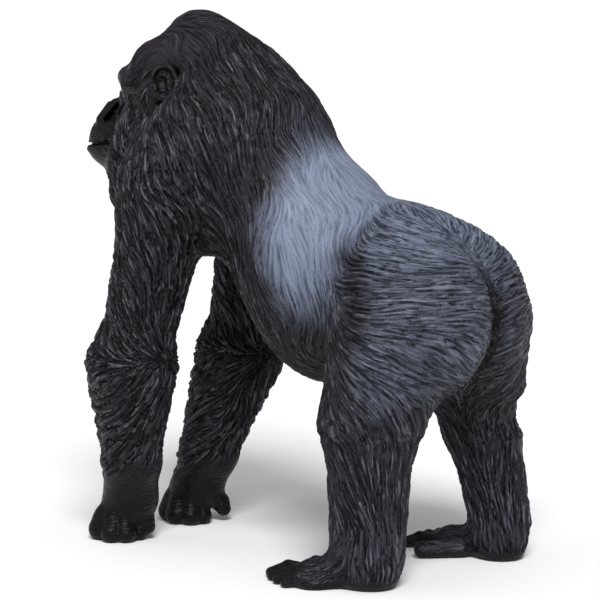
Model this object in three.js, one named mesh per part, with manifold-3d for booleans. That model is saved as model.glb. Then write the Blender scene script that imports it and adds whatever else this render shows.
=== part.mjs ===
// Standing silverback gorilla figure, moulded in soft PVC and painted. Millimetres, +Z up, nose towards -Y,
// the animal's left side towards +X. The origin is on the floor, under the middle of the figure.
import * as THREE from "three";
import { mergeVertices } from "three/addons/utils/BufferGeometryUtils.js";
import { triTable } from "three/addons/objects/MarchingCubes.js";
import { SimplifyModifier } from "three/addons/modifiers/SimplifyModifier.js";
import Module from "manifold-3d";

const wasm = await Module();
wasm.setup();

// ---- driving dimensions ----

const seam = 0.3; // gap between two mouldings
const limbSeam = 0.5; // gap round a limb's root
const seat = [-0.4, -1.1, 0]; // moves the whole figure so that the origin is under its middle

const headPivot = [0, -17, 76];
const eyePlace = [3.2, -14.4, -0.8]; // from the pivot
const earPlace = { left: [11.4, -5, 2.4], right: [9.9, -5.4, 2.4] };
const eyeRadius = 0.95;
const headTurn = 20; // degrees, towards the animal's left

const sides = { left: 1, right: -1 };
const shoulder = [13.6, -16.2, 60];
const armJoints = {
  left: { elbow: [15.2, -22.9, 30.5], wrist: [12.4, -25.1, 14.5], bulk: 8, spread: 0.95 },
  right: { elbow: [14, -22.8, 28], wrist: [7.6, -23.7, 12.5], bulk: 8, spread: 1.15 },
};
const legJoints = {
  left: { hip: [10, 26.4, 42], knee: [13.4, 24.3, 25.6], ankle: [14.4, 24.6, 7], shin: 7.1, turn: 22 },
  right: { hip: [10, 27.3, 39], knee: [13, 28.4, 23], ankle: [15, 31, 7], shin: 6.1, turn: -4 },
};

// ---- clay: a form is a function from a point to its signed distance, negative inside ----

const smoothMin = (a, b, soft) => {
  const h = Math.max(soft - Math.abs(a - b), 0) / soft;
  return Math.min(a, b) - (h * h * soft) / 4;
};
const join = (soft, ...forms) => (p) => forms.reduce((d, form) => smoothMin(d, form(p), soft), 1e3);
const carve = (soft, form, ...tools) => (p) =>
  tools.reduce((d, tool) => -smoothMin(-d, tool(p), soft), form(p));
const grow = (form, by) => (p) => form(p) - by;

// An ellipsoid whose axes may be tipped about X, then turned about Z, in degrees.
const ball = (centre, radii, tip = 0, turn = 0) => {
  const { degToRad } = THREE.MathUtils;
  const turns = new THREE.Euler(degToRad(tip), 0, degToRad(turn), "ZYX");
  const rows = new THREE.Matrix4().makeRotationFromEuler(turns).elements;
  const smallest = Math.min(...radii);
  return (p) => {
    const d = [p[0] - centre[0], p[1] - centre[1], p[2] - centre[2]];
    let far = 0;
    let steep = 0;
    for (let k = 0; k < 3; k++) {
      const q = (rows[4 * k] * d[0] + rows[4 * k + 1] * d[1] + rows[4 * k + 2] * d[2]) / radii[k];
      far += q * q;
      steep += (q / radii[k]) ** 2;
    }
    far = Math.sqrt(far);
    return steep < 1e-9 ? -smallest : (far * (far - 1)) / Math.sqrt(steep);
  };
};

// A round bar from a to b whose radius runs from ra to rb.
const bar = (a, b, ra, rb) => {
  const run = b.map((v, i) => v - a[i]);
  const squared = run[0] ** 2 + run[1] ** 2 + run[2] ** 2;
  return (p) => {
    const d = [p[0] - a[0], p[1] - a[1], p[2] - a[2]];
    const t = Math.min(Math.max((d[0] * run[0] + d[1] * run[1] + d[2] * run[2]) / squared, 0), 1);
    return Math.hypot(d[0] - t * run[0], d[1] - t * run[1], d[2] - t * run[2]) - (ra + t * (rb - ra));
  };
};

// The same form on the other side of the middle plane, and on both.
const mirror = (form) => (p) => form([-p[0], p[1], p[2]]);
const paired = (form) => (p) => form([Math.abs(p[0]), p[1], p[2]]);

// A place offset from an origin, turned about Z.
const turned = (origin, degrees, [x, y, z]) => {
  const [c, s] = [Math.cos(THREE.MathUtils.degToRad(degrees)), Math.sin(THREE.MathUtils.degToRad(degrees))];
  return [origin[0] + c * x - s * y, origin[1] + s * x + c * y, origin[2] + z];
};

// A form given in the head's own frame: pivot between the ears, face towards -Y.
const inHead = (form) => (p) => form(turned([0, 0, 0], -headTurn, p.map((v, i) => v - headPivot[i])));

// ---- the body, form by form ----

const trunkForm = () => join(6,
  ball([0, -11, 64.6], [17, 16, 16.2]), // rib cage
  ball([0, -14, 72.6], [12.5, 10.4, 10.8]), // shoulder hump
  paired(ball([10, -13, 65], [8, 9, 11])), // shoulder blades
  ball([0, 3.2, 53.1], [15, 13.4, 14.4]), // back
  ball([0, 8, 43.8], [13.5, 13.4, 14.6]), // belly
);

const rumpForm = () => join(4,
  ball([0, 21.2, 46.8], [14.5, 12, 13]), // pelvis
  paired(ball([5.6, 26.5, 42.7], [11, 14.2, 14.1])), // buttocks
);

const neckForm = () => join(5,
  ball([0, -14.6, 75.6], [9.8, 9, 10.6]), // nape
  paired(ball([7.2, -19.5, 65], [7.4, 9.5, 12])), // mane at the sides
  ball([2, -23.7, 59.5], [8.5, 9.3, 9.5]), // throat
);

const headForm = () => inHead(carve(0.4, join(1.6,
  join(3,
    ball([0, -6, 2.5], [8.6, 8.3, 8]), // brain case
    ball([0, -2.6, 7.4], [5.2, 5.7, 6.4]), // crest
    ball([0, -8.7, 2.2], [6.2, 5.3, 4.6]), // forehead
    paired(bar([6.2, -9.5, -3], [5.6, -12.4, -12.5], 4, 3.8)), // cheek ruff
    ball([0, -9.4, -12.2], [8.2, 8, 7.2]), // jaw
    ball([0, -10.8, -17], [5.8, 5.5, 5]), // beard
  ),
  paired(bar([5.8, -12.9, 1.3], [1, -15.3, 2], 1.8, 2)), // brow ridge
  ball([0, -11.6, -3.5], [6.4, 4.6, 6]), // mid-face
  paired(ball([3.7, -12.3, -3.6], [2.6, 3, 2.4])), // cheekbones
  bar([0, -14.2, -0.6], [0, -17.2, -3.4], 1.3, 1.4), // bridge of the nose
  paired(ball([1.6, -17.7, -4.7], [1.9, 2.2, 2.3])), // nostril wings
  ball([0, -16.5, -8], [4.9, 5.5, 4.2]), // muzzle
  ball([0, -17.6, -10.2], [4.4, 4.9, 2.9]), // chin
), paired(ball([3.2, -16.6, -0.9], [1.9, 2, 1.3])), // eye sockets
ball([0, -17, -9.35], [6.5, 6.6, 0.25]), // mouth
paired(ball([1.2, -20.3, -4.9], [0.7, 1.2, 0.55], -20)), // nostrils
));

// Left limbs in the body's frame. The fist stands on the backs of its curled fingers, palm inwards.
const fistForm = (wrist, spread) => {
  const sunk = 0.25; // pressed flat on the floor by this much
  const place = (x, y, z) => [wrist[0] - 1 + x, wrist[1] - 2.6 + y, z];
  const fingers = [-3.9, -1.3, 1.3, 3.7].map((row, n) => {
    const y = spread * row;
    const thick = [1.6, 1.65, 1.55, 1.35][n];
    const knuckle = place(2.4, y, thick - sunk);
    const curl = place(-1.6, 0.9 * y, 0.85 * thick - sunk);
    return join(0.5,
      bar(place(1.8, 0.8 * y, 6.4), knuckle, thick, thick),
      bar(knuckle, curl, thick, 0.85 * thick),
      bar(curl, place(-2.6, 0.85 * y, 3.4), 0.85 * thick, 0.75 * thick),
    );
  });
  const thumb = join(0.6,
    bar(place(-1.2, -3, 8.5), place(-2.8, -4.6, 5), 1.8, 1.4),
    bar(place(-2.8, -4.6, 5), place(-2.9, -4.2, 2.3), 1.35, 1.05),
  );
  const palm = join(2, bar(wrist, place(0.3, 0, 8.5), 4.6, 4.2), ball(place(0.2, -0.4, 6), [3, 4.8, 5.2]));
  return join(1, palm, ...fingers, thumb);
};

const armForm = (side) => {
  const { elbow, wrist, bulk, spread } = armJoints[side];
  return join(3,
    ball(shoulder, [8.4, 8.4, 11.5]),
    bar(shoulder, elbow, 7.8, 0.72 * bulk),
    bar(elbow, wrist, bulk, 4.7),
    fistForm(wrist, spread),
  );
};

const footForm = (ankle, turn) => {
  const place = (x, y, z) => turned([ankle[0] - 0.6, ankle[1] + 0.9, 0], turn, [x, y, z]);
  const toes = [0, 1, 2, 3].map((n) => {
    const shorter = n ** 1.5;
    const joint = place(-2 + 1.9 * n, -14.6 + 0.6 * shorter, 2);
    return join(0.4,
      bar(place(-1.8 + 1.75 * n, -11, 1.7), joint, 1.05, 1.05),
      bar(joint, place(-2 + 1.95 * n, -17.5 + 0.75 * shorter, 0.8), 1, 0.9),
    );
  });
  const bigToe = bar(place(-3.2, -6, 1.8), place(-7.2, -11.2, 1.4), 1.7, 1.4);
  return join(0.8, join(2.5,
    ball(place(0, 0, 2.6), [3.7, 4, 3.8]),
    bar(place(0, -2, 2.4), place(0.4, -9.5, 1.4), 3.4, 2.6),
    ball(place(0.8, -9.4, 1), [4.3, 3.6, 2.4], 0, turn),
  ), ...toes, bigToe);
};

const legForm = (side) => {
  const { hip, knee, ankle, shin, turn } = legJoints[side];
  return join(3,
    bar(hip, knee, 11.1, 1.07 * shin),
    bar(knee, ankle, shin, 0.88 * shin),
    footForm(ankle, turn),
  );
};

// The body without its limbs. A long hollow runs down each flank in front of the hip.
const coreForm = () => carve(4, join(5, trunkForm(), rumpForm(), neckForm(), headForm()),
  paired(bar([18.3, 16.5, 57], [17.6, 14, 34], 3.6, 3)), // hollow of the flank
);

const earForm = (side) => {
  const [x, y, z] = earPlace[side];
  const sign = sides[side];
  return inHead(carve(0.3,
    ball([sign * x, y, z], [1.3, 1.8, 2.6], 0, sign * 24), // rim
    ball([sign * (x + 1.2), y - 0.7, z + 0.2], [0.9, 1, 1.7], 0, sign * 24), // bowl
  ));
};

// ---- polygons: marching cubes over a form ----

const asSolid = ({ attributes, index }) => new wasm.Manifold(new wasm.Mesh({
  numProp: 3, vertProperties: attributes.position.array, triVerts: new Uint32Array(index.array),
}));

const corners = [[0, 0, 0], [1, 0, 0], [1, 1, 0], [0, 1, 0], [0, 0, 1], [1, 0, 1], [1, 1, 1], [0, 1, 1]];
const edges = [
  [0, 1], [1, 2], [2, 3], [3, 0], [4, 5], [5, 6], [6, 7], [7, 4], [0, 4], [1, 5], [2, 6], [3, 7],
];

const polygonise = async (form, low, high, cell, kept = 0.4) => {
  const count = low.map((v, i) => Math.ceil((high[i] - v) / cell) + 1);
  const index = (i, j, k) => (k * count[1] + j) * count[0] + i;
  const value = new Float64Array(count[0] * count[1] * count[2]);
  for (let k = 0; k < count[2]; k++) {
    for (let j = 0; j < count[1]; j++) {
      for (let i = 0; i < count[0]; i++) {
        const border = [i, j, k].some((n, axis) => n === 0 || n === count[axis] - 1);
        const d = form([low[0] + i * cell, low[1] + j * cell, low[2] + k * cell]);
        const clear = Math.sign(d || 1) * Math.max(Math.abs(d), 0.06 * cell);
        value[index(i, j, k)] = border ? Math.max(clear, cell) : clear;
      }
    }
  }
  const found = new Map();
  const points = [];
  const faces = [];
  const pointOn = (i, j, k, edge) => {
    const [a, b] = edges[edge].map((c) => [i + corners[c][0], j + corners[c][1], k + corners[c][2]]);
    const [ia, ib] = [index(...a), index(...b)];
    const key = ia < ib ? `${ia} ${ib}` : `${ib} ${ia}`;
    if (!found.has(key)) {
      const t = value[ia] / (value[ia] - value[ib]);
      found.set(key, points.length / 3);
      points.push(...a.map((v, axis) => low[axis] + cell * (v + t * (b[axis] - v))));
    }
    return found.get(key);
  };
  for (let k = 0; k < count[2] - 1; k++) {
    for (let j = 0; j < count[1] - 1; j++) {
      for (let i = 0; i < count[0] - 1; i++) {
        const inside = corners.reduce(
          (bits, [a, b, c], n) => bits | (value[index(i + a, j + b, k + c)] < 0) << n, 0);
        for (let n = inside * 16; triTable[n] !== -1; n += 3) {
          faces.push(...[2, 1, 0].map((m) => pointOn(i, j, k, triTable[n + m])));
        }
      }
    }
  }
  const dense = new THREE.BufferGeometry();
  dense.setAttribute("position", new THREE.BufferAttribute(new Float32Array(points), 3));
  dense.setIndex(faces);
  return asSolid(await new SimplifyModifier().modify(dense, (1 - kept) * points.length / 3));
};

// ---- partings: planes by a point on them and the way they face ----

const partings = {
  head: { at: [0, -10.5, 87], faces: [0, -0.83, 0.56] },
  neck: { at: [0, -3.5, 84], faces: [0, -0.81, 0.59] },
  loin: { at: [0, 15, 60], faces: [0, -0.97, 0.26] },
};

// The piece of a solid in front of a parting, or behind it, half a seam away.
const inFrontOf = (solid, { at, faces }) => {
  const facing = new THREE.Vector3(...faces).normalize();
  return solid.trimByPlane(facing.toArray(), facing.dot(new THREE.Vector3(...at)) + seam / 2);
};
const behind = (solid, { at, faces }) => inFrontOf(solid, { at, faces: faces.map((v) => -v) });
const largest = (solid) => solid.decompose().sort((a, b) => b.volume() - a.volume())[0];

// ---- the figure ----

const part = new THREE.Group();
const skin = { color: "#2a282b", roughness: 0.6, metalness: 0 };
const silver = { color: "#8f98ab", roughness: 0.62, metalness: 0 };
const gloss = { color: "#120c08", roughness: 0.12, metalness: 0 };

const add = (name, solid, finish) => {
  const { vertProperties, triVerts } = solid.getMesh();
  const geometry = new THREE.BufferGeometry();
  geometry.setAttribute("position", new THREE.BufferAttribute(vertProperties, 3));
  geometry.setIndex(new THREE.BufferAttribute(triVerts, 1));
  const mesh = new THREE.Mesh(geometry, new THREE.MeshStandardMaterial(finish));
  mesh.name = name;
  mesh.position.set(...seat);
  part.add(mesh);
};

const core = coreForm();
const nearCore = grow(core, seam);

const eyeball = (side, radius) => {
  const [x, y, z] = eyePlace;
  const centre = turned(headPivot, headTurn, [sides[side] * x, y, z]);
  const sphere = new THREE.SphereGeometry(radius, 12, 8).translate(...centre);
  sphere.deleteAttribute("normal");
  sphere.deleteAttribute("uv");
  return asSolid(mergeVertices(sphere, 1e-4));
};

const whole = await polygonise(core, [-24, -46, 20], [24, 45, 94], 2.2, 0.23);
const face = await polygonise(core, [-17, -44, 50], [19, 0, 94], 1, 0.19);
const blank = inFrontOf(face, partings.head);
const sockets = Object.keys(sides).map((side) => eyeball(side, eyeRadius + seam));
add("head", largest(sockets.reduce((solid, socket) => solid.subtract(socket), blank)), skin);
add("neck", largest(inFrontOf(behind(whole, partings.head), partings.neck)), skin);
add("trunk", largest(inFrontOf(behind(whole, partings.neck), partings.loin)), silver);
add("rump", largest(behind(whole, partings.loin)), silver);

// Limbs are worked on the left, over the body as that side sees it, and the right ones are then mirrored.
// A limb is what it adds to the body, parted across into its pieces from the top down.
const addLimb = async (side, form, [low, high], pieces) => {
  const body = sides[side] > 0 ? core : mirror(core);
  const whole = join(2.5, body, form);
  const wide = 4;
  for (const { name, cell, kept, top, bottom } of pieces) {
    const box = [[...low], [...high]];
    box[0][2] = bottom ? bottom.at[2] - wide : 0 - wide;
    box[1][2] = top ? top.at[2] + wide : high[2];
    const around = [box[0].map((v) => v - 2 * cell), box[1].map((v) => v + 2 * cell)];
    let solid = await polygonise(whole, ...box, cell, kept);
    if (!top) {
      solid = solid.subtract(await polygonise(grow(body, limbSeam), ...around, cell, kept));
    }
    solid = top ? behind(solid, top) : solid;
    solid = inFrontOf(solid, bottom ?? { at: [0, 0, -seam / 2], faces: [0, 0, 1] });
    add(`${name}_${side}`, largest(solid).scale([sides[side], 1, 1]), skin);
  }
};

for (const [side, sign] of Object.entries(sides)) {
  add(`eye_${side}`, eyeball(side, eyeRadius), gloss);
  const aroundEar = [[8 * sign - 8, -36, 72], [8 * sign + 8, -12, 85]];
  const ear = await polygonise(earForm(side), ...aroundEar, 0.45, 0.25);
  add(`ear_${side}`, largest(ear.subtract(await polygonise(nearCore, ...aroundEar, 0.7, 0.6))), skin);

  const { elbow, wrist } = armJoints[side];
  const elbowCut = { at: elbow, faces: [0, 0.2, 1] };
  const wristCut = { at: [wrist[0], wrist[1], wrist[2] - 3], faces: [0, 0, 1] };
  await addLimb(side, armForm(side), [[-2, -44, 0], [26, 8, 80]], [
    { name: "upper_arm", cell: 2, kept: 0.24, bottom: elbowCut },
    { name: "forearm", cell: 2, kept: 0.3, top: elbowCut, bottom: wristCut },
    { name: "hand", cell: 0.8, kept: 0.16, top: wristCut },
  ]);

  const { knee, ankle } = legJoints[side];
  const kneeCut = { at: knee, faces: [0, 0, 1] };
  const ankleCut = { at: ankle, faces: [0, 0, 1] };
  await addLimb(side, legForm(side), [[-4, 2, 0], [28, 46, 62]], [
    { name: "thigh", cell: 2, kept: 0.24, bottom: kneeCut },
    { name: "lower_leg", cell: 2, kept: 0.3, top: kneeCut, bottom: ankleCut },
    { name: "foot", cell: 0.8, kept: 0.15, top: ankleCut },
  ]);
}

export default part;
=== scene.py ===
# Hand-size toy silverback, moulded in one piece of soft PVC, sprayed charcoal and silver, with gloss eyes.
import bpy
import math
import numpy as np
import openvdb
from mathutils import Matrix, Vector


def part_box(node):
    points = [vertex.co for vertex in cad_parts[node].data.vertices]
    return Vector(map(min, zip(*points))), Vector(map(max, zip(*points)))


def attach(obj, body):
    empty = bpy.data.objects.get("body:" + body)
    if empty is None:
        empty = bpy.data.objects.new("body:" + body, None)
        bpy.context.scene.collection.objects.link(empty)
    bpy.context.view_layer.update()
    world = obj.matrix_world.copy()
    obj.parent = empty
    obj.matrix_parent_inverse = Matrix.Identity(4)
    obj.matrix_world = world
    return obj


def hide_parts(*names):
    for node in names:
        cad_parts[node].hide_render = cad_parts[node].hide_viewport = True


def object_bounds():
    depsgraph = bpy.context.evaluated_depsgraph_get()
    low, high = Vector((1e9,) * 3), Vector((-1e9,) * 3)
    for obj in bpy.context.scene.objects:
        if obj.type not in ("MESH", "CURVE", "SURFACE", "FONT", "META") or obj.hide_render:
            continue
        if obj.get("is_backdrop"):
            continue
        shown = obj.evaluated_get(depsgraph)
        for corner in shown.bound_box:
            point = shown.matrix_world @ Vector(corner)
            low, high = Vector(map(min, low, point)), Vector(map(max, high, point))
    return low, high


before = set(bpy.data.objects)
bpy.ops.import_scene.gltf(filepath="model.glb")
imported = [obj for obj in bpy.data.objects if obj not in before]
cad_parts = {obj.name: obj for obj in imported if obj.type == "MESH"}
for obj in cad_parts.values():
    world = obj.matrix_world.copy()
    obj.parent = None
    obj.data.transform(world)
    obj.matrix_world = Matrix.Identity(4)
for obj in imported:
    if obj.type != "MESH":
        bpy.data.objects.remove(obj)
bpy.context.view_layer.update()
mm = 0.001
print("frame loaded")


# the clay: distances in millimetres from a body built of balls and bars, joined softly

def smoothMin(a, b, soft):
    h = np.maximum(soft - np.abs(a - b), 0) / soft
    return np.minimum(a, b) - h * h * soft / 4


def join(soft, *forms):
    d = forms[0]
    for form in forms[1:]:
        d = smoothMin(d, form, soft)
    return d


def carve(soft, form, *tools):
    for tool in tools:
        form = -smoothMin(-form, tool, soft)
    return form


def scored(soft, form, line, wide, deep):  # a groove of even depth, along a line drawn on the form
    return carve(soft, form, np.maximum(line - wide, -form - deep))


def ball(at, centre, radii, tip=0, turn=0):
    d = at - np.array(centre)
    if tip or turn:
        axes = Matrix.Rotation(math.radians(turn), 3, "Z") @ Matrix.Rotation(math.radians(tip), 3, "X")
        d = d @ np.array(axes)
    d /= radii
    far = np.sqrt(np.einsum("ij,ij->i", d, d))
    d /= radii
    steep = np.sqrt(np.einsum("ij,ij->i", d, d))
    return far * (far - 1) / np.maximum(steep, 1e-6)


def bar(at, a, b, ra, rb):
    a, run = np.array(a), np.subtract(b, a)
    d = at - a
    t = np.clip(d @ run / (run @ run), 0, 1)
    d -= t[:, None] * run
    return np.sqrt(np.einsum("ij,ij->i", d, d)) - (ra + t * (rb - ra))


def inBox(at, low, high):
    return ((at > low) & (at < high)).all(axis=1)


def within(at, low, high, form, far=12.0):  # works a form out only inside its box
    inside = inBox(at, low, high)
    d = np.full(len(at), float(far))
    if inside.any():
        d[inside] = form(at[inside])
    return d


def turned(at, degrees):
    c, s = math.cos(math.radians(degrees)), math.sin(math.radians(degrees))
    return np.stack([c * at[:, 0] - s * at[:, 1], s * at[:, 0] + c * at[:, 1], at[:, 2]], axis=1)


def bothSides(at):
    folded = at.copy()
    folded[:, 0] = np.abs(folded[:, 0])
    return folded


def fade(value, start, end):
    t = np.clip((value - start) / (end - start), 0, 1)
    return t * t * (3 - 2 * t)


# the body, form by form, in millimetres: nose towards -Y, the animal's left towards +X
# seat: the clay's origin in the frame; flank and limbs: how softly those forms meet
figure = {"seat": (-0.4, -1.1, 0.0), "flank": 4, "limbs": 2.5}

head = {"pivot": (0, -17, 76), "turn": 20, "eye": (3.2, -14.4, -0.8), "eyeRadius": 0.95,
        "ear": {1: (12.2, -4.8, 2.1), -1: (10.3, -5.0, 2.1)}, "earTurn": 24, "earLean": 24}

shoulder = (13.6, -16.2, 60)
arms = {1: {"elbow": (15.2, -22.9, 30.5), "wrist": (12.2, -25.7, 14.5), "bulk": 8, "palm": (10.7, -27, 7),
            "fist": (11.8, -28.5), "fingers": (-38, 14, 55, 100), "thumb": (112, 4.9)},
        -1: {"elbow": (14, -22.8, 28), "wrist": (6.9, -24, 12.5), "bulk": 8, "palm": (6.2, -25.8, 6.5),
             "fist": (5.3, -26.9), "fingers": (236, 184, 138, 102), "thumb": (60, 6)}}

legs = {1: {"hip": (10, 26.4, 42), "knee": (13.4, 24.3, 25.6), "ankle": (14.4, 24.6, 7),
            "shin": 7.1, "turn": 22},
        -1: {"hip": (10, 27.3, 39), "knee": (13, 28.4, 23), "ankle": (15, 31, 7), "shin": 6.1, "turn": -4}}


def onHead(at):  # places as the turned head has them
    return turned(at - np.array(head["pivot"]), -head["turn"])


def trunkForm(at):
    return join(6,
                ball(at, (0, -11, 64.6), (17, 16, 16.2)),  # rib cage
                ball(at, (0, -14, 72.6), (12.5, 10.4, 10.8)),  # shoulder hump
                ball(bothSides(at), (10, -13, 65), (8, 9, 11)),  # shoulder blades
                ball(at, (0, 3.2, 52.8), (15, 13.4, 14.2)),  # back
                ball(at, (0, 8, 43.8), (13.5, 13.4, 14.6)))  # belly


def rumpForm(at):
    return join(4,
                ball(at, (0, 20, 47.3), (14.5, 12.4, 13)),  # pelvis
                ball(bothSides(at), (5.6, 26.5, 42.7), (11, 14.2, 14.1)))  # buttocks


def neckForm(at):
    return join(5,
                ball(at, (0, -14.6, 75.6), (9.8, 9, 10.6)),  # nape
                ball(bothSides(at), (7.2, -19.5, 65), (7.4, 9.5, 12)),  # mane at the sides
                ball(at, (2, -24.1, 60.8), (8.5, 9.3, 9.3)))  # throat


def headForm(at):
    here = onHead(at)
    sides = bothSides(here)
    skull = join(3,
                 ball(here, (0, -6, 2.5), (8.6, 8.3, 8)),  # brain case
                 ball(here, (0, -2.6, 7.4), (5.2, 5.7, 6.4)),  # crest
                 ball(here, (0, -8.7, 2.2), (6.2, 5.3, 4.6)),  # forehead
                 bar(sides, (6.2, -9.5, -3), (5.6, -12.4, -12.5), 4, 3.8),  # cheek ruff
                 ball(here, (0, -9.4, -12.2), (8.2, 8, 7.2)),  # jaw
                 ball(here, (0, -12.4, -17), (5.8, 5.6, 4.8)))  # beard
    skull = carve(2, skull, ball(here, (0, -11.5, 12.2), (9, 3.6, 2.8)))  # dip before the crest
    near = inBox(here, (-12, -26, -18), (12, -6, 10))
    if near.any():
        skull[near] = faceForm(skull[near], here[near], sides[near])
    return skull


def faceForm(skull, here, sides):
    x, y, z = head["eye"]
    r = head["eyeRadius"]
    face = join(1.4, skull,
                bar(sides, (5.6, -12.6, 1.5), (1, -14.7, 2.2), 1.8, 1.9),  # brow ridge
                ball(here, (0, -11.6, -3.5), (6.4, 4.6, 6)),  # mid-face
                ball(sides, (3.7, -12.3, -3.6), (2.6, 3, 2.4)),  # cheekbones
                bar(here, (0, -14.2, -1.6), (0, -17.2, -2.9), 1, 1.4),  # bridge of the nose
                ball(here, (0, -16.3, -8), (4.9, 5.6, 4.3)),  # muzzle
                ball(here, (0, -17.2, -10.1), (4.5, 4.9, 3.2)))  # chin
    face = join(0.6, face,
                bar(sides, (2.2, -17.2, -2.9), (2.4, -19, -5.1), 1.25, 1.1),  # nostril wings
                ball(here, (0, -18.2, -10.15), (4, 4.25, 0.95)))  # lower lip
    face = carve(0.4, face, ball(sides, (3.2, -16.6, -0.9), (1.9, 2, 1.3)))  # eye sockets
    face = join(0.35, face, ball(sides, (x, y + 0.05, z), (1.5 * r, 1.35 * r, 1.32 * r)))  # lids
    return carve(0.12, face,
                 ball(sides, (x + 0.05, y - 1.25, z - 0.05), (1.1, 1.2, 0.5)),  # between the lids
                 ball(sides, (x, y, z), (r + 0.02,) * 3),  # the ball's own room
                 ball(sides, (1.2, -20.1, -4.9), (0.75, 1.2, 0.6), -20))  # nostrils


def scoreFace(body, at):
    here = onHead(at)
    near = inBox(here, (-7, -24, -14), (7, -13, 0))
    if not near.any():
        return body
    flat = here[near] * (0, 1, 1)
    lips = np.abs(flat[:, 2] + 9.3 - 0.15 * (flat[:, 1] + 22)) + 2 * np.maximum(flat[:, 1] + 16.4, 0)
    face = scored(0.15, body[near], lips, 0.24, 0.6)
    for soft, a, b, wide, deep in ((0.35, (0, -15.9, -2.4), (0, -18.1, -4.9), 0.32, 0.7),  # by the nostril
                                   (0.2, (0, -16.4, -6), (0, -17.4, -8.2), 0.2, 0.2),  # down the muzzle
                                   (0.2, (0, -15.2, -2.2), (0, -14.2, -3.2), 0.2, 0.25)):  # under the eye
        face = scored(soft, face, bar(flat, a, b, 0, 0), wide, deep)
    body[near] = face
    return body


def coatLedges(body, at):  # where longer hair ends over shorter
    near = inBox(at, (-20, -24, 62), (20, -2, 75))
    if near.any():  # the mane's upper edge
        y, z = at[near, 1], at[near, 2]
        below = 73.9 + 0.075 * y - z + 0.4 * np.sin(1.3 * y)
        proud = fade(below, -0.9, 0.9) * fade(below, 8, 2) * fade(y, -23, -19) * fade(y, -3, -9)
        body[near] -= 0.35 * proud
    near = inBox(at, (-30, 12, 17), (30, 42, 36))
    if near.any():  # the thigh's coat ends over the shin, with a dent above the right knee
        x, y, z = at[near].T
        above = z - 25 + 0.06 * (y - 25) - 0.5 * np.sin(0.9 * y + 0.7 * x) - 0.3 * np.sin(2.3 * y - 1.9 * x)
        body[near] -= 0.6 * fade(above, -0.9, 1.1) * fade(above, 9, 2)
        body[near] += 1.9 * fade(z, 20.5, 24.2) * fade(z, 29.5, 25.5) * fade(x, -2, -6) * fade(y, 29, 35)
    return body


def earFrame(at, side):  # outward, towards the nape and up, from the ear's middle
    x, y, z = head["ear"][side]
    here = turned(onHead(at) - np.array((side * x, y, z)), -side * head["earTurn"])
    out, lean = here[:, 0] * side, math.radians(head["earLean"])
    return np.stack([math.cos(lean) * out + math.sin(lean) * here[:, 2], here[:, 1],
                     math.cos(lean) * here[:, 2] - math.sin(lean) * out], axis=1)


def earHollow(at, side):  # the ring of bare skin that the ear stands in
    return ball(earFrame(at, side), (0.3, 0.1, 0), (1.6, 3.1, 3.9))


def earForm(at, side):
    here = earFrame(at, side)
    e = np.sqrt((here[:, 1] / 1.95) ** 2 + (here[:, 2] / 2.75) ** 2)
    across = np.hypot(here[:, 1], here[:, 2]) * (1 - 1 / np.maximum(e, 0.05))
    lift = 0.8 + 0.45 * fade(here[:, 1], -1, 1.6)  # the back edge stands further out
    rim = np.hypot(across, here[:, 0] - lift) - 0.45
    rim = rim + 0.5 * fade(here[:, 1], -0.5, -1.6) * fade(here[:, 2], 1.4, -0.6)  # open at the front
    back = carve(0.25,
                 ball(here, (-0.3, 0.1, 0), (1.5, 2.1, 2.9)),
                 ball(here, (1.2, -0.2, 0.1), (1.35, 1.6, 2.3)))
    return join(0.25, back, rim,
                bar(here, (0.25, 0.75, 1.1), (0.45, 0.7, -0.9), 0.34, 0.3),  # inner fold
                bar(here, (0.25, 0.6, 1.1), (0.3, -0.5, 1.5), 0.28, 0.22),
                ball(here, (0.5, -1.5, -0.8), (0.5, 0.6, 0.8)),  # flap at the front
                ball(here, (0.65, -0.1, -2.5), (0.65, 1, 0.75)))  # lobe


def nearEar(at, side, form):
    return within(at, (8 * side - 10, -38, 70), (8 * side + 10, -12, 87), lambda p: form(p, side), 6)


def fistForm(at, wrist, palm, fist, fingers, thumb):  # on the backs of the curled fingers
    def place(degrees, out, z):
        a = math.radians(degrees)
        return (fist[0] + out * math.cos(a), fist[1] + out * math.sin(a), z)

    sunk = 0.25  # pressed flat on the floor by this much
    curled = []
    for turn, thick in zip(fingers, (2, 1.85, 1.8, 1.6)):
        knuckle = place(turn, 3.4, thick - sunk)
        curled.append(join(0.4,
                           bar(at, place(turn, 2.6, 4), knuckle, 0.95 * thick, thick),
                           bar(at, knuckle, place(turn, 1, 0.9 * thick - sunk), thick, 0.9 * thick)))
    turn, out = thumb
    tip = join(0.5,
               bar(at, place(turn, 0.5 * out, 6), place(turn, 0.9 * out, 3.4), 2.3, 1.6),
               bar(at, place(turn, 0.9 * out, 3.4), place(turn, out, 2.2), 1.5, 1.3))
    whole = join(1.5, bar(at, wrist, palm, 5.2, 4.3), ball(at, palm, (4.4, 4.4, 4.8)),
                 bar(at, palm, place(fingers[0], 2.4, 3), 3.6, 2.3))
    return join(0.6, whole, join(0.35, *curled), tip)


def armForm(at, side):
    elbow, wrist, bulk, *fist = arms[side].values()

    def whole(near):
        hand = within(near, (-6, -44, -3), (24, -12, 22), lambda p: fistForm(p, wrist, *fist), 20)
        return join(1.5,
                    join(3,
                         ball(near, shoulder, (8.4, 8.4, 11.5)),
                         bar(near, shoulder, elbow, 7.8, 0.72 * bulk),
                         bar(near, elbow, wrist, bulk, 5.2)),
                    hand)

    return within(at, (-4, -44, -3), (30, 6, 84), whole)


def underAnkle(ankle):  # the middle of the heel, on the floor
    return np.array((ankle[0] - 0.6, ankle[1] + 0.9, 0))


def footPlace(ankle, turn):
    heelX, heelY, _ = underAnkle(ankle)
    c, s = math.cos(math.radians(turn)), math.sin(math.radians(turn))
    return lambda x, y, z: (heelX + c * x - s * y, heelY + s * x + c * y, z)


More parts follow.
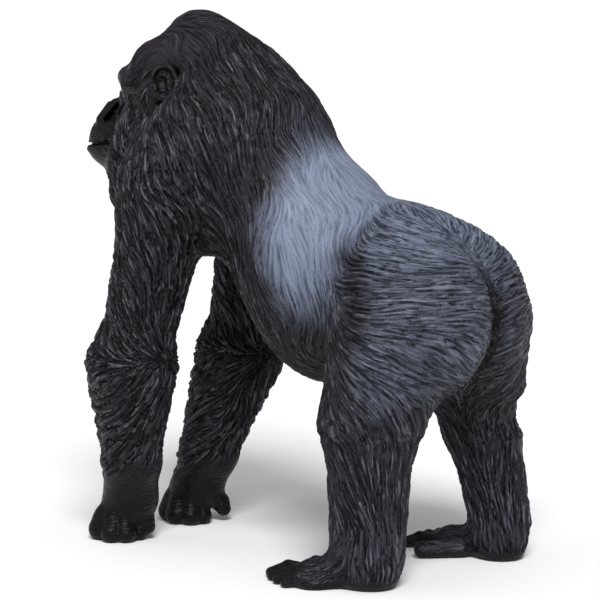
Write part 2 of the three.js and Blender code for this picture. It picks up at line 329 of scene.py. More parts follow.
def footForm(at, ankle, turn):
    place = footPlace(ankle, turn)
    toes = []
    for n in range(4):
        shorter = n ** 1.5
        joint = place(-2 + 1.9 * n, -14.6 + 0.6 * shorter, 2)
        toes.append(join(0.4,
                         bar(at, place(-1.8 + 1.75 * n, -11, 1.7), joint, 1.05, 1.05),
                         bar(at, joint, place(-2 + 1.95 * n, -17.5 + 0.75 * shorter, 0.8), 1, 0.9)))
    bigToe = bar(at, place(-3.2, -6, 1.8), place(-7.2, -11.2, 1.4), 1.7, 1.4)
    sole = join(2.5,
                ball(at, place(0, 0, 2.6), (3.7, 4, 3.8)),
                bar(at, place(0, -2, 2.4), place(0.4, -9.5, 1.4), 3.4, 2.6),
                ball(at, place(0.8, -9.4, 1), (4.3, 3.6, 2.4), 0, turn))
    return join(0.8, sole, *toes, bigToe)


def legForm(at, side):
    hip, knee, ankle, shin, turn = legs[side].values()

    def whole(near):
        foot = within(near, (-2, 0, -3), (32, 42, 16), lambda p: footForm(p, ankle, turn), 20)
        return join(3,
                    bar(near, hip, knee, 11.1, 1.07 * shin),
                    bar(near, knee, ankle, shin, 0.88 * shin),
                    foot)

    return within(at, (-6, 0, -3), (34, 50, 62), whole)


def bodyForms(at):
    headed = within(at, (-20, -50, 45), (20, 8, 100), headForm, 20)
    core = join(5, trunkForm(at), rumpForm(at), neckForm(at), headed)
    core = carve(figure["flank"], core, bar(bothSides(at), (18.3, 16.5, 57), (17.6, 14, 34), 3.6, 3))
    limbs = {}
    for side in (1, -1):
        other = at * (side, 1, 1)
        limbs["arm", side] = armForm(other, side)
        limbs["leg", side] = legForm(other, side)
    return core, limbs


def bodyAt(at):
    core, limbs = bodyForms(at)
    d = join(figure["limbs"], core, *limbs.values())
    armpit = within(at, (-20, -20, 44), (20, 0, 60),
                    lambda p: bar(bothSides(p), (13.4, -11.8, 52.2), (10.5, -7, 52), 2, 2))
    d = join(1, d, armpit)
    for side in (1, -1):
        d = carve(0.5, d, nearEar(at, side, earHollow))
        d = join(0.3, d, nearEar(at, side, earForm))
    d = coatLedges(scoreFace(d, at), at)
    return np.maximum(d, -at[:, 2])  # flat on the floor


# the skin's mesh: cell is the clay's grid, in millimetres, and each face is then cut in four
skinMesh = {"cell": 0.42, "low": (-25.6, -43.0, -1.5), "high": (25.6, 42.6, 92.2), "islandMargin": 0.003}


def fieldGrid():  # distances at every crossing of the grid, exact near the surface
    low, cell = np.array(skinMesh["low"]), skinMesh["cell"]
    coarse = np.ceil((np.array(skinMesh["high"]) - low) / (2 * cell)).astype(int) + 1
    axes = [low[k] + 2 * cell * np.arange(coarse[k]) for k in range(3)]
    at = np.stack(np.meshgrid(*axes, indexing="ij"), axis=-1).reshape(-1, 3)
    grid = bodyAt(at).reshape(coarse)
    for axis in range(3):  # halfway values, one axis after another
        count = grid.shape[axis]
        between = (np.take(grid, range(1, count), axis) + np.take(grid, range(count - 1), axis)) / 2
        finer = np.empty([2 * n - 1 if k == axis else n for k, n in enumerate(grid.shape)])
        even = [slice(None)] * 3
        odd = [slice(None)] * 3
        even[axis], odd[axis] = slice(0, None, 2), slice(1, None, 2)
        finer[tuple(even)], finer[tuple(odd)] = grid, between
        grid = finer
    near = np.argwhere(np.abs(grid) < 2.2 * cell)
    grid[tuple(near.T)] = bodyAt(low + cell * near)
    return grid


def gradientAt(at, step=0.05):
    corners = np.array([(1, -1, -1), (-1, -1, 1), (-1, 1, -1), (1, 1, 1)])
    return sum(corner * bodyAt(at + step * corner)[:, None] for corner in corners) / (4 * step)


def meshFrom(name, points, quads):
    mesh = bpy.data.meshes.new(name)
    mesh.vertices.add(len(points))
    mesh.vertices.foreach_set("co", np.asarray(points, np.float32).ravel())
    mesh.loops.add(4 * len(quads))
    mesh.loops.foreach_set("vertex_index", np.asarray(quads, np.int32).ravel())
    mesh.polygons.add(len(quads))
    mesh.polygons.foreach_set("loop_start", np.arange(0, 4 * len(quads), 4, dtype=np.int32))
    mesh.update(calc_edges=True)
    piece = bpy.data.objects.new(name, mesh)
    bpy.context.scene.collection.objects.link(piece)
    return piece


def positionsOf(mesh):
    co = np.empty(3 * len(mesh.vertices), np.float32)
    mesh.vertices.foreach_get("co", co)
    return co.reshape(-1, 3).astype(float)


def setAttribute(mesh, name, values, kind="FLOAT", domain="POINT"):
    attribute = mesh.attributes.new(name, kind, domain)
    field = "vector" if kind == "FLOAT_VECTOR" else "value"
    attribute.data.foreach_set(field, np.asarray(values, np.int32 if kind == "INT" else np.float32).ravel())


def readAttribute(mesh, name, width=1):
    values = np.empty(width * len(mesh.attributes[name].data), np.float32)
    mesh.attributes[name].data.foreach_get("vector" if width == 3 else "value", values)
    return values.reshape(-1, width) if width > 1 else values


# the pieces that the skin is cut into, and the solids that each stands for
pieces = {
    "head_skin": {"slot": "body", "nodes": ["head", "neck", "ear_left", "ear_right"]},
    "back_skin": {"slot": "saddle", "nodes": ["trunk"]},
    "rump_skin": {"slot": "saddle", "nodes": ["rump"]},
    "arm_left_skin": {"slot": "body", "nodes": ["upper_arm_left", "forearm_left", "hand_left"]},
    "arm_right_skin": {"slot": "body", "nodes": ["upper_arm_right", "forearm_right", "hand_right"]},
    "leg_left_skin": {"slot": "body", "nodes": ["thigh_left", "lower_leg_left", "foot_left"]},
    "leg_right_skin": {"slot": "body", "nodes": ["thigh_right", "lower_leg_right", "foot_right"]},
}
pieceNames = list(pieces)


def pieceOf(at):
    core, limbs = bodyForms(at)
    piece = np.full(len(at), pieceNames.index("back_skin"))
    piece[(at - (0, -2.3, 83.2)) @ (0, -0.81, 0.59) > 0] = pieceNames.index("head_skin")  # across the nape
    piece[(at - (0, 13.5, 60)) @ (0, 0.97, -0.26) > 0] = pieceNames.index("rump_skin")  # before the haunches
    nearest = core.copy()
    for (limb, side), d in limbs.items():
        name = f"{limb}_{'left' if side > 0 else 'right'}_skin"
        piece[d < nearest] = pieceNames.index(name)
        nearest = np.minimum(nearest, d)
    return piece


def unwrap(piece, share):
    mesh = piece.data
    mesh.uv_layers.new(name="OFBake")
    bpy.context.view_layer.objects.active = piece
    piece.select_set(True)
    for number in range(len(pieceNames)):
        bpy.ops.object.mode_set(mode="OBJECT")
        mesh.polygons.foreach_set("select", share == number)
        bpy.ops.object.mode_set(mode="EDIT")
        bpy.ops.mesh.select_mode(type="FACE")
        bpy.ops.uv.smart_project(angle_limit=math.radians(62), island_margin=skinMesh["islandMargin"])
    bpy.ops.object.mode_set(mode="OBJECT")


# how deep each stretch of the coat is cut, in millimetres, and how far its locks stray from the lie
coat = {"mane": (1.1, 0.35), "arm": (0.85, 0.2), "shin": (0.6, 0.2), "thigh": (0.5, 0.15),
        "saddle": (0.17, 0.35), "belly": (0.4, 0.3), "nape": (0.5, 0.25), "crown": (0.25, 0.6),
        "temple": (0.5, 0.5), "foot": (0.35, 0.2)}


def unit(v):
    v = np.asarray(v, float)
    return v / np.maximum(np.linalg.norm(v, axis=-1, keepdims=True), 1e-9)


def mixed(a, b, share):
    if np.ndim(a) == 2:
        share = share[:, None]
    return a + (np.asarray(b) - a) * share


def bareFace(here):  # below zero on the naked face, in millimetres
    hairline = here[:, 1] + 15.3 - 1.3 * fade(here[:, 2], -2.5, -0.5)
    return np.maximum(hairline, np.maximum(here[:, 2] - 4.2, -13.4 - here[:, 2]))


def everywhere(value, at):
    return np.tile(np.array(value, float), (len(at), 1))


def limbShares(at):  # how much of each point belongs to each arm and leg
    core, limbs = bodyForms(at)
    shares = {}
    for limb, d in limbs.items():
        others = np.minimum.reduce([core] + [other for key, other in limbs.items() if key != limb])
        shares[limb] = 1 / (1 + np.exp(-np.clip((others - d) / 1.3, -30, 30)))
    return shares


def layTrunk(at, outward):
    y, z = at[:, 1], at[:, 2]
    lie = everywhere((0, 0.15, -1), at)  # flanks and back
    lie = mixed(lie, (0, 0.45, -1), fade(y, 2, -6))  # cape
    lie = mixed(lie, (0, -0.1, -1), fade(-outward[:, 1], 0.1, 0.6) * fade(y, -14, -20))  # chest
    lie = mixed(lie, (0, 0.8, -0.35), fade(-outward[:, 2], 0.35, 0.8) * fade(z, 66, 56))  # belly
    cut = everywhere(coat["saddle"], at)
    cut = mixed(cut, coat["nape"], fade(y, 8, -5))
    cut = mixed(cut, coat["belly"], fade(z, 52, 43) * fade(y, -12, -4))
    return lie, cut


def lieOnLegs(at, outward):  # level round each haunch, from the flank into the cleft, then down the leg
    x, y, z = at.T
    middle = 5.6 * fade(z, 54, 46)
    lie = unit(np.stack([-np.sign(x) * fade(np.abs(x), 0, 3) * (y - 26.5) / 14,
                         np.maximum(np.abs(x) - middle, 2.5) / 11, 0.012 * (z - 48)], axis=1))
    lie = unit(lie - np.outer(0.4 * fade(z, 46, 36) + 0.7 * fade(z, 35, 27), (0, 0, 1)))
    front = 0.8 * fade(-outward[:, 1], -0.15, 0.6) * fade(z, 50, 44)
    lie = mixed(lie, (0, 0.3, -1), front)
    lie = mixed(lie, (0, 0.3, -1), fade(z, 28, 20))
    return mixed(lie, (0, 0.05, -1), fade(z, 12, 7))


def layHaunches(at, legLie, lie, cut):
    y, z = at[:, 1], at[:, 2]
    edge = 22.7 - 0.16 * (57 - z) - 0.002 * (57 - z) ** 2  # the fold in front of the haunch
    haunch = fade(y, edge - 5, edge + 3) * fade(z, 20, 30)
    return mixed(lie, legLie, haunch), mixed(cut, coat["thigh"], haunch)


def layArm(at, side, share, lie, cut, bare):
    y, z = at[:, 1], at[:, 2]
    elbow, wrist = arms[side]["elbow"], arms[side]["wrist"]
    up = fade(z, elbow[2] + 8, elbow[2] - 2)  # the forearm's hair points back up to the elbow
    lie = mixed(lie, mixed(everywhere((0, 0.5, -1), at), (0, 0.8, 0.6), up), share)
    hand = fade(z - 0.35 * (y - wrist[1]), wrist[2] - 0.5, wrist[2] - 4)
    return lie, mixed(cut, coat["arm"], share), mixed(bare, 1.0, share * hand)


def layLeg(at, side, share, legLie, lie, cut, bare):
    z = at[:, 2]
    ankle, turn = legs[side]["ankle"], legs[side]["turn"]
    onFoot = turned(at * (side, 1, 1) - underAnkle(ankle), -turn)
    instep = fade(onFoot[:, 1], -2, -6) * fade(z, 11, 6)
    toTheToes = turned(np.array([[0, -1.0, -0.3]]), turn * side)[0]
    lie = mixed(mixed(lie, legLie, share), toTheToes, share * instep)
    cut = mixed(cut, mixed(everywhere(coat["thigh"], at), coat["shin"], fade(z, 31, 21)), share)
    cut = mixed(cut, coat["foot"], share * instep)
    solesAndToes = np.maximum(fade(z, 2, 0.9), fade(onFoot[:, 1], -9, -12.5))
    return lie, cut, mixed(bare, 1.0, share * solesAndToes)


def layHead(at, shares, lie, cut):
    y, z = at[:, 1], at[:, 2]
    hy, hz = onHead(at).T[1:]
    backOfHead = turned(np.array([[0.0, 1.0, 0.0]]), head["turn"])[0]
    onTheHead = fade((at - (0, -10.5, 87)) @ unit((0, -0.83, 0.56)), -4, 2)
    headLie = mixed(everywhere(backOfHead + (0, 0, 0.35), at), 0.5 * backOfHead + (0, 0, -1),
                    np.maximum(fade(hz, 4, -3), fade(hy, -9, -5) * fade(hz, 12, 8)))
    for side in (1, -1):  # the hair swirls round each ear
        out, back, up = earFrame(at, side).T
        swirl = fade(np.hypot(back, up), 7, 3) * fade(np.abs(out), 5, 3) * 0.7
        headLie = mixed(headLie, unit(np.stack([0 * out, up, -back], axis=1)), swirl)
    headCut = mixed(everywhere(coat["crown"], at), coat["temple"], fade(hy, -6, -9) * fade(hz, 5.5, 3))
    headCut = mixed(headCut, coat["mane"], fade(z + 0.3 * (hy + 6), 74.5, 72))
    throat = fade(z, 72, 66) * fade(y, -10, -18) * (1 - shares["arm", 1]) * (1 - shares["arm", -1])
    cut = mixed(mixed(cut, headCut, onTheHead), coat["mane"], throat)
    return mixed(lie, headLie, onTheHead), cut


def bareSkin(at, bare):  # the hands and feet, with the face and the ears
    naked = fade(bareFace(onHead(at)), 0.5, -0.5)
    naked[(at[:, 1] > -20) | (at[:, 2] < 58)] = 0
    bare = np.maximum(bare, naked)
    for side in (1, -1):
        bare = np.maximum(bare, fade(nearEar(at, side, earHollow), 0.45, 0.1))
    return bare


def silverBack(at, shares):  # brightest on the flank, fading into the cape, the belly and a dark fold; the fold, the cleft and the far haunch's back are darkened partly as painted shade
    x, y, z = at.T
    start = -0.5 + 3.2 * fade(z, 56, 45) + 2.7 * fade(z, 58, 63) - 4 * fade(z, 70, 76)
    flank = fade(y, start, 9 + 2 * fade(z, 50, 44)) * fade(z, 38, 50.5) * (1 - 0.9 * fade(z, 66, 77))
    flank = flank * (1 + 0.1 * fade(z, 58, 62))
    low = z - 0.35 * np.maximum(y - 29, 0)
    haunch = 0.27 + 0.26 * fade(z, 49, 57) - 0.05 * fade(z, 37, 30) - 0.2 * fade(low, 32.5, 26)
    # painted shade on the back of the right haunch
    haunch = haunch * (1 - 0.6 * fade(x, -1, -5) * fade(y, 24, 31) * fade(z, 55, 47))
    # painted shade between the legs, on the inner thighs
    cleftShade = 1 - fade(np.abs(x), 1, 4 + 6 * fade(z, 40, 32))
    haunch = haunch * (1 - fade(z, 50, 44) * cleftShade)
    fold = 20.3 + 5.7 * fade(z, 57, 45) - 3.5 * fade(z, 45, 36)
    silver = mixed(flank, haunch, fade(y, fold - 1, fold + 1) * fade(z, 8, 16))
    # the fold before the haunch: less silver, partly the paint's own pattern and partly painted shade
    dip = np.where(y < fold, fade(y, fold - 6 - 9.5 * fade(z, 58, 47), fold - 0.6),
                   fade(y, fold + 2.6 + 2.8 * fade(z, 55, 48) + 1.5 * fade(z, 38, 33), fold + 0.4))
    silver = silver * (1 - (0.15 + 0.85 * fade(z, 58.5, 51.5)) * dip * fade(z, 20, 30))
    for (limb, _), share in shares.items():
        if limb == "arm":
            silver = silver * (1 - share)
        else:  # a little is brushed over the ankles
            silver = np.maximum(silver, 0.05 * share * fade(z, 14, 9) * fade(z, 1.5, 4))
    return silver


def hollowShadeAt(at, outward, shares):  # how far the surface is sunk between others: painted shade, darker in the hollows where shade falls
    reach = 3.5
    hollowShade = np.clip(1 - bodyAt(at + reach * outward) / reach, 0, 1)
    for side in (1, -1):
        hollowShade = hollowShade * (1 - 0.9 * fade(nearEar(at, side, earForm), 0.4, 0.1))  # most of the painted shade is taken off the ears' rims
    for side in (1, -1):
        hollowShade = np.maximum(hollowShade, 0.55 * (shares["arm", side] * fade(at[:, 2], 14, 5)))  # painted shade on the hands, darker towards the floor
    return hollowShade


def layCoat(at, outward):
    shares = limbShares(at)
    legLie = lieOnLegs(at, outward)
    lie, cut = layHaunches(at, legLie, *layTrunk(at, outward))
    bare = np.zeros(len(at))
    for (limb, side), share in shares.items():
        if limb == "arm":
            lie, cut, bare = layArm(at, side, share, lie, cut, bare)
        else:
            lie, cut, bare = layLeg(at, side, share, legLie, lie, cut, bare)
    lie, cut = layHead(at, shares, lie, cut)
    bare = bareSkin(at, bare)
    depth = cut[:, 0] * (1 - bare)
    depth[at[:, 2] < 0.03] = 0  # pressed flat on the floor
    lie = lie - (lie * outward).sum(axis=1)[:, None] * outward
    return {"outward": outward, "lie": unit(lie), "depth": depth * mm, "wander": cut[:, 1],
            "shag": fade(depth, 0, 0.6), "bare": bare, "silver": silverBack(at, shares),
            "hollowShade": hollowShadeAt(at, outward, shares)}


maths, vectors = "ShaderNodeMath", "ShaderNodeVectorMath"


def put(tree, kind, values=(), **settings):  # one node with its settings, and its inputs in order or by name
    node = tree.nodes.new(kind)
    for name, value in settings.items():
        setattr(node, name, value)
    for name, value in values.items() if isinstance(values, dict) else enumerate(values):
        if isinstance(value, bpy.types.Node):
            value = value.outputs[0]
        if isinstance(value, bpy.types.NodeSocket):
            tree.links.new(value, node.inputs[name])
        else:
            node.inputs[name].default_value = value
    return node


# the moulded coat: locks and strands, drawn out along the way the hair lies
fur = {"Lock width": 0.9 * mm, "Strand width": 0.5 * mm, "Step": 0.38 * mm, "Steps": 15, "Wander": 1.0,
       "Wander size": 7.0 * mm, "Seed": 3}


def furInputs(tree):
    face = tree.interface
    face.new_socket("Geometry", in_out="INPUT", socket_type="NodeSocketGeometry")
    for name, value in fur.items():
        kind = "NodeSocketInt" if name in ("Steps", "Seed") else "NodeSocketFloat"
        face.new_socket(name, in_out="INPUT", socket_type=kind).default_value = value
    face.new_socket("Material", in_out="INPUT", socket_type="NodeSocketMaterial")
    face.new_socket("Geometry", in_out="OUTPUT", socket_type="NodeSocketGeometry")
    return put(tree, "NodeGroupInput").outputs


def furTree():
    tree = bpy.data.node_groups.new("moulded fur", "GeometryNodeTree")
    given = furInputs(tree)
    stores, samples = "GeometryNodeStoreNamedAttribute", "GeometryNodeSampleNearestSurface"
    read = {}
    for name in ("lie", "outward", "flow", "behind"):
        read[name] = put(tree, "GeometryNodeInputNamedAttribute", {"Name": name}, data_type="FLOAT_VECTOR")
    for name in ("wander", "depth", "relief", "locks", "lockWeight", "strands", "strandWeight"):
        read[name] = put(tree, "GeometryNodeInputNamedAttribute", {"Name": name})

    def lumps(place, width, offset):  # noise from 0 to 1, in lumps of the given width
        shift = put(tree, "ShaderNodeCombineXYZ", {"X": offset, "Y": offset})
        moved = put(tree, vectors, (place, shift), operation="ADD")
        scale = put(tree, maths, (1.0, width), operation="DIVIDE")
        return put(tree, "ShaderNodeTexNoise", {"Vector": moved, "Scale": scale, "Detail": 0.0})

    # the lie strays a little to each side, so that no two locks run quite alike
    position = put(tree, "GeometryNodeInputPosition")
    offset = put(tree, maths, (given["Seed"], 0.7), operation="MULTIPLY")
    drift = put(tree, maths, (lumps(position, given["Wander size"], offset), 0.5), operation="SUBTRACT")
    swing = put(tree, maths, (given["Wander"], 5.0), operation="MULTIPLY")
    swing = put(tree, maths, (read["wander"], swing), operation="MULTIPLY")
    turn = put(tree, maths, (drift, swing), operation="MULTIPLY")
    flow = put(tree, "ShaderNodeVectorRotate", {"Vector": read["lie"], "Axis": read["outward"], "Angle": turn},
               rotation_type="AXIS_ANGLE")
    laid = put(tree, stores, {"Geometry": given["Geometry"], "Name": "flow", "Value": flow},
               data_type="FLOAT_VECTOR")
    walker = put(tree, stores, {"Geometry": laid, "Name": "behind", "Value": position},
                 data_type="FLOAT_VECTOR")
    for name in ("locks", "strands", "lockWeight", "strandWeight"):
        walker = put(tree, stores, {"Geometry": walker, "Name": name, "Value": 0.0})

    # each point walks back up the hair towards its root, and adds up the noise that it passes
    start = put(tree, "GeometryNodeRepeatInput")
    end = put(tree, "GeometryNodeRepeatOutput")
    start.pair_with_output(end)
    tree.links.new(given["Steps"], start.inputs["Iterations"])
    tree.links.new(walker.outputs[0], start.inputs["Geometry"])
    inside = start.outputs["Geometry"]
    offset = put(tree, maths, (given["Seed"], 0.31), operation="MULTIPLY")
    along = put(tree, maths, (start.outputs["Iteration"], 1.0), operation="ADD")
    along = put(tree, maths, (along, given["Steps"]), operation="DIVIDE")
    rising = put(tree, maths, (along, 1.3), operation="POWER")  # a lock swells towards its tip
    arch = put(tree, maths, (along, math.pi), operation="MULTIPLY")
    even = put(tree, maths, (arch,), operation="SINE")
    for name, weight, width in (("lock", rising, given["Lock width"]),
                                ("strand", even, given["Strand width"])):
        passed = put(tree, maths, (weight, lumps(read["behind"], width, offset)), operation="MULTIPLY")
        for total, more in ((name + "s", passed), (name + "Weight", weight)):
            grown = put(tree, maths, (read[total], more), operation="ADD")
            inside = put(tree, stores, {"Geometry": inside, "Name": total, "Value": grown})
    heading = put(tree, samples, {"Mesh": laid, "Value": read["flow"], "Sample Position": read["behind"]},
                  data_type="FLOAT_VECTOR")
    backwards = put(tree, maths, (given["Step"], -1.0), operation="MULTIPLY")
    stride = put(tree, vectors, {"Vector": heading, "Scale": backwards}, operation="SCALE")
    stepped = put(tree, vectors, (read["behind"], stride), operation="ADD")
    landed = put(tree, samples, {"Mesh": laid, "Value": position, "Sample Position": stepped},
                 data_type="FLOAT_VECTOR")
    inside = put(tree, stores, {"Geometry": inside, "Name": "behind", "Value": landed},
                 data_type="FLOAT_VECTOR")
    tree.links.new(inside.outputs[0], end.inputs["Geometry"])

    # sharp grooves between round-backed locks, and fine strands where the coat is shallow
    shape = {}
    for name, height in (("lock", 0.09), ("strand", 0.07)):
        mean = put(tree, maths, (read[name + "s"], read[name + "Weight"]), operation="DIVIDE")
        away = put(tree, maths, (mean, 0.5), operation="SUBTRACT")
        away = put(tree, maths, (away,), operation="ABSOLUTE")
        away = put(tree, maths, (away, height), operation="DIVIDE")
        away = put(tree, maths, (away, 1.0), operation="MINIMUM")
        shape[name] = put(tree, maths, (away, 0.8), operation="POWER")
    lockShare = put(tree, "ShaderNodeMapRange", {"Value": read["depth"], "From Min": 0.1 * mm,
                                                 "From Max": 0.8 * mm, "To Min": 0.15, "To Max": 0.7})
    strandShare = put(tree, maths, (1.0, lockShare), operation="SUBTRACT")
    locks = put(tree, maths, (shape["lock"], lockShare), operation="MULTIPLY")
    strands = put(tree, maths, (shape["strand"], strandShare), operation="MULTIPLY")
    relief = put(tree, maths, (locks, strands), operation="ADD")
    shaped = put(tree, stores, {"Geometry": end.outputs["Geometry"], "Name": "relief", "Value": relief})
    below = put(tree, maths, (read["relief"], 1.0), operation="SUBTRACT")
    sink = put(tree, maths, (read["depth"], below), operation="MULTIPLY")
    inward = put(tree, vectors, {"Vector": read["outward"], "Scale": sink}, operation="SCALE")
    moved = put(tree, "GeometryNodeSetPosition", {"Geometry": shaped, "Offset": inward})
    for name in ("behind", "locks", "strands", "lockWeight", "strandWeight", "wander"):
        moved = put(tree, "GeometryNodeRemoveAttribute", {"Geometry": moved, "Name": name})
    real = put(tree, "GeometryNodeRealizeInstances", {"Geometry": moved})
    dressed = put(tree, "GeometryNodeSetMaterial", {"Geometry": real, "Material": given["Material"]})
    put(tree, "NodeGroupOutput", (dressed,))
    return tree


def linear(hexColour):
    channels = [int(hexColour[n:n + 2], 16) / 255 for n in (1, 3, 5)]
    return [c / 12.92 if c <= 0.04045 else ((c + 0.055) / 1.055) ** 2.4 for c in channels] + [1.0]


# colours, then the widths of the painted strands, of the skin's folds and wrinkles and of the paint's grain
# the darkest colours stand for the paint's wash and for painted shade in grooves, creases and hollows
paint = {"groove": "#040305", "charcoal": "#252229", "ridge": "#565159", "silver": "#788196",
         "silverGroove": "#444b5e", "skin": "#1d1b1f", "skinCreaseShade": "#040305",
         "strand": 0.4 * mm, "strandHeight": 0.28 * mm, "strandStep": 0.34 * mm, "taps": 6,
         "fold": 0.6 * mm, "wrinkle": (2 * mm, 2 * mm, 0.5 * mm), "grain": 0.3 * mm,
         "roughness": 0.36, "skinRougher": 0.06, "sheen": 0.18}


def strandPattern(tree, place, flow):  # one noise read many times along the hair gives long strands
    taps = paint["taps"]
    total, weights = 0.0, 0.0
    for k in range(-taps, taps + 1):
        weight = 1 - (k / (taps + 1)) ** 2
        moved = put(tree, vectors, (flow, (k * paint["strandStep"],) * 3, place), operation="MULTIPLY_ADD")
        noise = put(tree, "ShaderNodeTexNoise", {"Vector": moved, "Scale": 1 / paint["strand"], "Detail": 0.0})
        total = put(tree, maths, (noise, weight, total), operation="MULTIPLY_ADD")
        weights += weight
    mean = put(tree, maths, (total, weights), operation="DIVIDE")
    return put(tree, "ShaderNodeMapRange", {"Value": mean, "From Min": 0.42, "From Max": 0.58},
               interpolation_type="SMOOTHSTEP")


def skinPattern(tree, place, grain):  # the cracks between the folds of bare skin, and its height; the cracks also mark where shade is painted in
    folds = put(tree, "ShaderNodeTexVoronoi", {"Vector": place, "Scale": 1 / paint["fold"]},
                feature="DISTANCE_TO_EDGE").outputs["Distance"]
    crease = put(tree, "ShaderNodeMapRange", {"Value": folds, "From Min": 0.0, "From Max": 0.2},
                 interpolation_type="SMOOTHSTEP")
    level = put(tree, "ShaderNodeMapping", {"Vector": place, "Scale": [1 / size for size in paint["wrinkle"]]})
    wrinkle = put(tree, "ShaderNodeTexNoise", {"Vector": level, "Scale": 1.0, "Detail": 1.0})
    height = put(tree, maths, (grain, 0.15), operation="MULTIPLY")
    height = put(tree, maths, (wrinkle, 1.0, height), operation="MULTIPLY_ADD")
    creased = put(tree, maths, (crease, 0.06), operation="MULTIPLY")
    return crease, put(tree, maths, (creased, height), operation="ADD")


def furPaint():  # soft PVC, sprayed matt: charcoal and silver-blue, ridges brushed lighter, grooves left dark; the near-black grooves are partly a dark wash and partly painted shade
    material = bpy.data.materials.new("matt paint on PVC")
    material.use_nodes = True
    tree = material.node_tree
    tree.nodes.clear()
    place = put(tree, "ShaderNodeTexCoord").outputs["Object"]
    flow = put(tree, "ShaderNodeAttribute", attribute_name="flow").outputs["Vector"]
    relief, shag, bare, silver, hollowShade = [put(tree, "ShaderNodeAttribute", attribute_name=name).outputs["Fac"]
                                          for name in ("relief", "shag", "bare", "silver", "hollowShade")]
    strand = strandPattern(tree, place, flow)
    grain = put(tree, "ShaderNodeTexNoise", {"Vector": place, "Scale": 1 / paint["grain"], "Detail": 2.0})
    crease, skinHeight = skinPattern(tree, place, grain)

    shaggy = put(tree, maths, (shag, 0.65, 0.35), operation="MULTIPLY_ADD")
    hair = put(tree, maths, (1.0, bare), operation="SUBTRACT", use_clamp=True)
    hair = put(tree, maths, (hair, shaggy), operation="MULTIPLY")
    hairHeight = put(tree, maths, (strand, hair), operation="MULTIPLY")
    height = put(tree, maths, (bare, skinHeight), operation="MULTIPLY")
    height = put(tree, maths, (hairHeight, height), operation="ADD")
    bump = put(tree, "ShaderNodeBump", {"Height": height, "Distance": paint["strandHeight"], "Strength": 1.0})

    # streak: from the bottom of a groove, 0, to the back of a lock, 1
    moulded = put(tree, maths, (relief, 0.55), operation="MULTIPLY")
    streak = put(tree, maths, (strand, 0.45), operation="MULTIPLY")
    streak = put(tree, maths, (moulded, streak), operation="ADD")
    streak = put(tree, maths, (streak, 0.5), operation="SUBTRACT")
    streak = put(tree, maths, (streak, shaggy, 0.5), operation="MULTIPLY_ADD")
    colour = {}
    # near black in the grooves: partly the paint's dark wash, partly painted shade
    for name, low, high, under, over in (("dark", 0.28, 0.56, "groove", "charcoal"),
                                         ("ridged", 0.6, 0.95, "dark", "ridge"),
                                         ("pale", 0.08, 0.62, "silverGroove", "silver")):
        share = put(tree, "ShaderNodeMapRange", {"Value": streak, "From Min": low, "From Max": high},
                    interpolation_type="SMOOTHSTEP")
        under = colour[under] if under in colour else linear(paint[under])
        colour[name] = put(tree, "ShaderNodeMix", {0: share, 6: under, 7: linear(paint[over])},
                           data_type="RGBA").outputs[2]

    # the silver: where it thins out, the brush catches only the ridges
    speckle = put(tree, maths, (grain, 0.8, -1.2), operation="MULTIPLY_ADD")
    uneven = put(tree, maths, (streak, 1.6, speckle), operation="MULTIPLY_ADD")
    thin = put(tree, maths, (1.55, silver), operation="SUBTRACT")
    thin = put(tree, maths, (silver, thin), operation="MULTIPLY")
    brushed = put(tree, maths, (uneven, thin, silver), operation="MULTIPLY_ADD", use_clamp=True)
    # painted shade in the skin's creases, broken up by a random grain
    grainAndCreaseShade = put(tree, maths, (grain, 0.3), operation="ADD")
    grainAndCreaseShade = put(tree, maths, (crease, grainAndCreaseShade), operation="MULTIPLY", use_clamp=True)
    # painted shade: the hollows and the hands darken towards the near-black groove colour
    sunk = put(tree, "ShaderNodeMapRange", {"Value": hollowShade, "From Min": 0.1, "From Max": 0.75},
               interpolation_type="SMOOTHSTEP")
    coatColour = put(tree, "ShaderNodeMix", {0: brushed, 6: colour["ridged"], 7: colour["pale"]},
                     data_type="RGBA").outputs[2]
    skinColour = put(tree, "ShaderNodeMix", {0: grainAndCreaseShade, 6: linear(paint["skinCreaseShade"]), 7: linear(paint["skin"])},
                     data_type="RGBA").outputs[2]
    whole = put(tree, "ShaderNodeMix", {0: bare, 6: coatColour, 7: skinColour}, data_type="RGBA").outputs[2]
    # painted shade in the hollows and on the hands, mixed in last
    whole = put(tree, "ShaderNodeMix", {0: sunk, 6: whole, 7: linear(paint["groove"])},
                data_type="RGBA").outputs[2]
    rough = put(tree, maths, (bare, paint["skinRougher"], paint["roughness"]), operation="MULTIPLY_ADD")
    shader = put(tree, "ShaderNodeBsdfPrincipled", {"Base Color": whole, "Roughness": rough, "Normal": bump,
                                                    "IOR": 1.45, "Specular IOR Level": paint["sheen"]})
    put(tree, "ShaderNodeOutputMaterial", {"Surface": shader})
    return material


